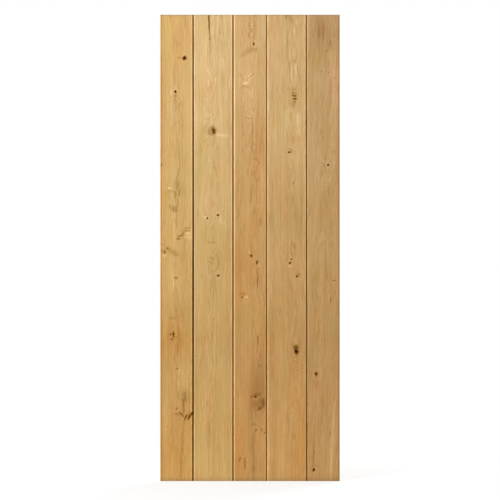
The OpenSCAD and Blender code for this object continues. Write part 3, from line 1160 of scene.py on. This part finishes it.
def ring_shade(make, grain, waver):
    """0 in the pores of the spring wood, rising to 1 through each growth ring, stronger in some rings."""
    ring = make.parts(grain)[0]
    bent = make.times_plus(waver, WAVER_RINGS, ring)
    share = make.math("FRACT", bent)
    shade = make.times(make.between(share, RING_RISE), make.between(share, RING_FALL, 1.0, 0.0))
    chance = make.node("TexWhiteNoise", noise_dimensions="1D")
    make.feed(chance.inputs["W"], make.math("FLOOR", bent))
    strength = make.between(chance.outputs[0], (0.0, 1.0), RING_LEAST, 1.0)
    return make.times(make.math("SUBTRACT", shade, RING_MIDDLE), strength)


def weighed(make, parts):
    """The sum of some values, each times its weight."""
    total = 0.0
    for value, weight in parts:
        total = make.times_plus(value, weight, total)
    return total


def warped(make, grain):
    """The grain with its fibres swaying a little from side to side."""
    ring, across, along = make.parts(grain)
    sway = make.even(make.noise(grain, WARP_SCALE, detail=1.0))
    return make.vector(ring, make.times_plus(sway, WARP_MM, across), along)


def oak_colour(make, grain, tone):
    """The colour of plain oak, with the fibre noise and the pores that others reuse."""
    rings = ring_shade(make, grain, make.noise(grain, WAVER_SCALE))
    grain = warped(make, grain)
    fibre = make.noise(grain, FIBRE_SCALE, detail=4.0, roughness=0.6)
    pores = make.between(make.noise(grain, PORE_SCALE, detail=1.0), PORE_SPAN)
    calm = make.between(make.noise(grain, CALM_SCALE, detail=1.0), CALM_SPAN, CALM_LEAST, CALM_MOST)
    fine = weighed(make, [
        (make.even(make.noise(grain, FLAME_SCALE)), FLAME_WEIGHT),
        (make.even(fibre), FIBRE_WEIGHT),
        (pores, -PORE_WEIGHT),
    ])
    broad = weighed(make, [
        (rings, RING_WEIGHT),
        (make.even(make.noise(grain, BAND_SCALE)), BAND_WEIGHT),
        (make.even(make.noise(grain, STREAK_SCALE, detail=3.0)), STREAK_WEIGHT),
        (make.even(make.noise(grain, PATCH_SCALE)), PATCH_WEIGHT),
    ])
    shade = make.times_plus(fine, calm, broad)
    wood = make.tinted(1.0, tone, make.mixed(make.math("ADD", shade, 0.5, clamp=True), DARK_WOOD, LIGHT_WOOD))
    hue = make.between(make.noise(grain, HUE_SCALE, detail=1.0), HUE_SPAN)
    return make.tinted(1.0, wood, make.mixed(hue, RED_WOOD, GREEN_WOOD)), fibre, pores


def end_share(make, axis):
    """1 on the faces across an axis, 0 on those along it."""
    normal = make.node("NewGeometry").outputs["True Normal"]
    return make.between(make.math("ABSOLUTE", make.parts(normal)[axis]), END_SPAN)


def with_knots(make, wood, knot, dark, broken):
    """The wood with its knots: pale and then brown around them, and nearly black inside."""
    strong = make.math("SQRT", dark)
    edge = make.times_plus(make.even(broken), KNOT_BREAK, knot)
    outside = make.times(make.between(edge, PALE_START), make.between(edge, PALE_END, 1.0, 0.0))
    pale = make.times(make.times(outside, dark), PALE_SHARE)
    wood = make.tinted(pale, wood, FLECK_TINT)
    halo = make.times(make.between(edge, HALO_SPAN, 0.0, HALO_SHARE), dark)
    wood = make.tinted(halo, wood, HALO_TINT)
    wood = make.mixed(make.times(make.between(edge, RIM_SPAN), dark), wood, RIM_COLOUR)
    core = make.times(make.between(edge, CORE_SPAN), strong)
    return make.mixed(core, wood, make.mixed(dark, RIM_COLOUR, CORE_COLOUR)), core


def finish_wood(make, wood, fibre, pores, rough, specular):
    """Colour, roughness, shine and fine relief that all the oak has."""
    make.look("Base Color", wood)
    make.look("Specular IOR Level", specular)
    make.look("Roughness", make.times_plus(fibre, ROUGHEST, rough))
    make.bumped(make.times_plus(pores, PORE_DEPTH, fibre), BUMP_STRENGTH, BUMP_HEIGHT)


def board_oak():
    """Knotty oak that reads the grain, the tone and the marks written on a board's points."""
    make = material_maker("board_oak")
    grain = make.attribute("grain")
    knot, stain, fleck = make.parts(make.attribute("marks"))
    dark, shine, _ = make.parts(make.attribute("finish"))
    wood, fibre, pores = oak_colour(make, grain, make.attribute("tone", "Color"))
    broken = make.noise(grain, BROKEN_SCALE, detail=3.0)
    ragged = make.between(broken, RAGGED_SPAN, RAGGED_LEAST, RAGGED_MOST)
    stain = make.times(stain, ragged)
    stained = make.math("MINIMUM", stain, 1.0)
    wood = make.tinted(stained, wood, STAIN_TINT)
    wood = make.tinted(make.between(stain, SOOT_SPAN), wood, SOOT_TINT)
    wood = make.tinted(make.times(fleck, ragged, clamp=True), wood, FLECK_TINT)
    wood, core = with_knots(make, wood, knot, dark, broken)
    wood = make.tinted(end_share(make, Z_AXIS), wood, END_TINT)
    rough = make.times_plus(core, CORE_ROUGH, BOARD_ROUGH)
    clean = make.math("SUBTRACT", shine, make.math("MAXIMUM", core, stained), clamp=True)
    finish_wood(make, wood, fibre, pores, rough, make.times(clean, BOARD_SPECULAR))
    return make.owner


# Ledges, pellets and screws keep their solids, and their grain comes from where a point lies
LEDGE_COLOUR = (0.60, 0.365, 0.135, 1)
PELLET_DARK = (0.36, 0.205, 0.075, 1)
PELLET_LIGHT = (0.54, 0.32, 0.12, 1)
PELLET_SCALE = (23.0, 0.0, 31.0)
LEDGE_HEART_BURY = 55.0
LEDGE_PITCH = 4.5
LEDGE_BEND_SCALE = (0.0022, 0.004, 0.004)
LEDGE_BEND = 34.0
LEDGE_ROUGH = 0.42
LEDGE_SPECULAR = 0.3
STEEL_DARK = (0.55, 0.53, 0.48, 1)
STEEL_LIGHT = (0.72, 0.69, 0.6, 1)
STEEL_SCALE = (900.0, 900.0, 900.0)
STEEL_ROUGH = 0.25
STEEL_BUMP = 0.1
STEEL_BUMP_HEIGHT = 0.05 * MM


def object_place(make):
    return make.node("TexCoord").outputs["Object"]


def ledge_grain(make, ledge):
    """Ring number, millimetres across and millimetres along for wood that runs across the door."""
    low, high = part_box(ledge)
    millimetres = make.stretched(object_place(make), (1 / MM, 1 / MM, 1 / MM))
    along, depth, up = make.parts(millimetres)
    bend = make.even(make.noise(millimetres, LEDGE_BEND_SCALE))
    middle = (low.z + high.z) / 2 / MM
    away = make.times_plus(bend, LEDGE_BEND, make.math("SUBTRACT", up, middle))
    deep = make.times_plus(bend, LEDGE_BEND, make.math("ADD", depth, LEDGE_HEART_BURY))
    radius = make.math("SQRT", make.times_plus(away, away, make.times(deep, deep)))
    ring = make.math("DIVIDE", radius, LEDGE_PITCH)
    return make.vector(ring, make.times_plus(depth, DEPTH_SKEW, up), along)


def ledge_oak(ledge):
    """Plain oak with its grain across the door and darker ends."""
    make = material_maker(ledge + "_oak")
    wood, fibre, pores = oak_colour(make, ledge_grain(make, ledge), LEDGE_COLOUR)
    wood = make.tinted(end_share(make, X_AXIS), wood, END_TINT)
    finish_wood(make, wood, fibre, pores, LEDGE_ROUGH, LEDGE_SPECULAR)
    return make.owner


def pellet_oak(ledge):
    """Oak a little darker than its ledge, with a shade of its own in each pellet."""
    make = material_maker(ledge + "_pellet_oak")
    own = make.noise(object_place(make), PELLET_SCALE, detail=0.0)
    tone = make.mixed(own, PELLET_DARK, PELLET_LIGHT)
    wood, fibre, pores = oak_colour(make, ledge_grain(make, ledge), tone)
    finish_wood(make, wood, fibre, pores, LEDGE_ROUGH, LEDGE_SPECULAR)
    return make.owner


def screw_steel():
    """Zinc plated steel, with a faint cloudiness."""
    make = material_maker("screw_steel")
    cloud = make.noise(object_place(make), STEEL_SCALE, detail=3.0)
    make.look("Base Color", make.mixed(cloud, STEEL_DARK, STEEL_LIGHT))
    make.look("Metallic", 1.0)
    make.look("Roughness", make.times_plus(cloud, ROUGHEST, STEEL_ROUGH))
    make.bumped(cloud, STEEL_BUMP, STEEL_BUMP_HEIGHT)
    return make.owner


def dress_back():
    """Gives the ledges, their pellets and their screws their materials."""
    steel = screw_steel()
    for ledge in LEDGES:
        looks = {ledge: ledge_oak(ledge), ledge + "_pellets": pellet_oak(ledge), ledge + "_screws": steel}
        for node, material in looks.items():
            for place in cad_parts[node].material_slots:
                place.material = material


# Stage, light and camera
FRAME_PIXELS = 500
MM_PER_PIXEL = 4.2473
CAMERA_HEIGHT = 981.7 * MM
CAMERA_DISTANCE = 8.0
SENSOR = 36.0

FLOOR_SIZE = 60.0
FLOOR_ALBEDO = (0.62, 0.62, 0.61, 1)
FLOOR_SHADE = (0.40, 0.40, 0.40, 1)
FLOOR_GLOW = 0.66
SHADOW_SPAN = (0.5, 1.6)
AMBIENT = (0.47, 0.475, 0.48, 1)
WHITE = (1.0, 1.0, 1.0, 1)

KEY_PLACE = (-3.4, -3.2, 2.8)
KEY_SIZE = 2.0
KEY_POWER = 155
BACK_PLACE = (2.4, 3.4, 3.0)
BACK_SIZE = 2.4
BACK_POWER = 130


def seen_directly(make):
    """1 for rays that show a background: from the camera, a mirror or through glass."""
    path = make.node("LightPath").outputs
    bounced = make.math("MAXIMUM", path["Is Glossy Ray"], path["Is Transmission Ray"])
    return make.math("MAXIMUM", path["Is Camera Ray"], bounced)


def make_world():
    """Soft light all round, which shows as white."""
    world = bpy.data.worlds.new("studio")
    bpy.context.scene.world = world
    make = Maker(world, "OutputWorld", "Background")
    make.look("Color", make.mixed(seen_directly(make), AMBIENT, WHITE))


def floor_distance(make):
    """Metres from the middle of the door's foot."""
    length = make.node("VectorMath", operation="LENGTH")
    make.feed(length.inputs[0], object_place(make))
    return length.outputs["Value"]


def floor_material():
    """A pale floor that shows as white, and keeps the door's shadow close to it."""
    make = material_maker("floor", "MixShader")
    plain = make.joined("BsdfDiffuse", FLOOR_ALBEDO)
    shaded = make.joined("BsdfDiffuse", FLOOR_SHADE)
    near = make.joined("AddShader", shaded, make.joined("Emission", WHITE, FLOOR_GLOW))
    far = make.joined("Emission", WHITE, 1.0)
    shown = make.joined("MixShader", make.between(floor_distance(make), SHADOW_SPAN), near, far)
    for socket, value in zip(make.shader.inputs, (seen_directly(make), plain, shown)):
        make.feed(socket, value)
    return make.owner


def make_floor():
    half = FLOOR_SIZE / 2
    corners = [(-half, -half, 0), (half, -half, 0), (half, half, 0), (-half, half, 0)]
    mesh = bpy.data.meshes.new("floor")
    mesh.from_pydata(corners, [], [(0, 1, 2, 3)])
    mesh.materials.append(floor_material())
    floor = bpy.data.objects.new("floor", mesh)
    bpy.context.scene.collection.objects.link(floor)


def aimed(thing, place, target):
    """Puts a lamp or a camera at a place and turns it to a target."""
    thing.location = place
    thing.rotation_euler = (Vector(target) - Vector(place)).to_track_quat("-Z", "Y").to_euler()


def make_lamp(name, place, size, power):
    """A round, soft lamp that shines on the middle of the leaf."""
    data = bpy.data.lights.new(name, "AREA")
    data.shape = "DISK"
    data.size = size
    data.energy = power
    lamp = bpy.data.objects.new(name, data)
    bpy.context.scene.collection.objects.link(lamp)
    aimed(lamp, place, (0, 0, LEAF_HEIGHT / 2))
    lamp.visible_camera = False


def make_camera():
    """Square on to the face, so that the leaf fills the frame as it does in the photograph."""
    data = bpy.data.cameras.new("camera")
    data.sensor_width = SENSOR
    frame_width = FRAME_PIXELS * MM_PER_PIXEL * MM
    data.lens = SENSOR * CAMERA_DISTANCE / frame_width
    camera = bpy.data.objects.new("camera", data)
    bpy.context.scene.collection.objects.link(camera)
    place = (0, FACE_Y - CAMERA_DISTANCE, CAMERA_HEIGHT)
    aimed(camera, place, (0, 0, CAMERA_HEIGHT))
    bpy.context.scene.camera = camera


def main():
    bpy.context.scene.view_settings.view_transform = "Standard"
    make_camera()
    make_world()
    make_floor()
    make_lamp("key", KEY_PLACE, KEY_SIZE, KEY_POWER)
    make_lamp("back", BACK_PLACE, BACK_SIZE, BACK_POWER)
    oak = board_oak()
    for number in range(len(BOARDS)):
        make_board(number, oak)
    dress_back()


main()
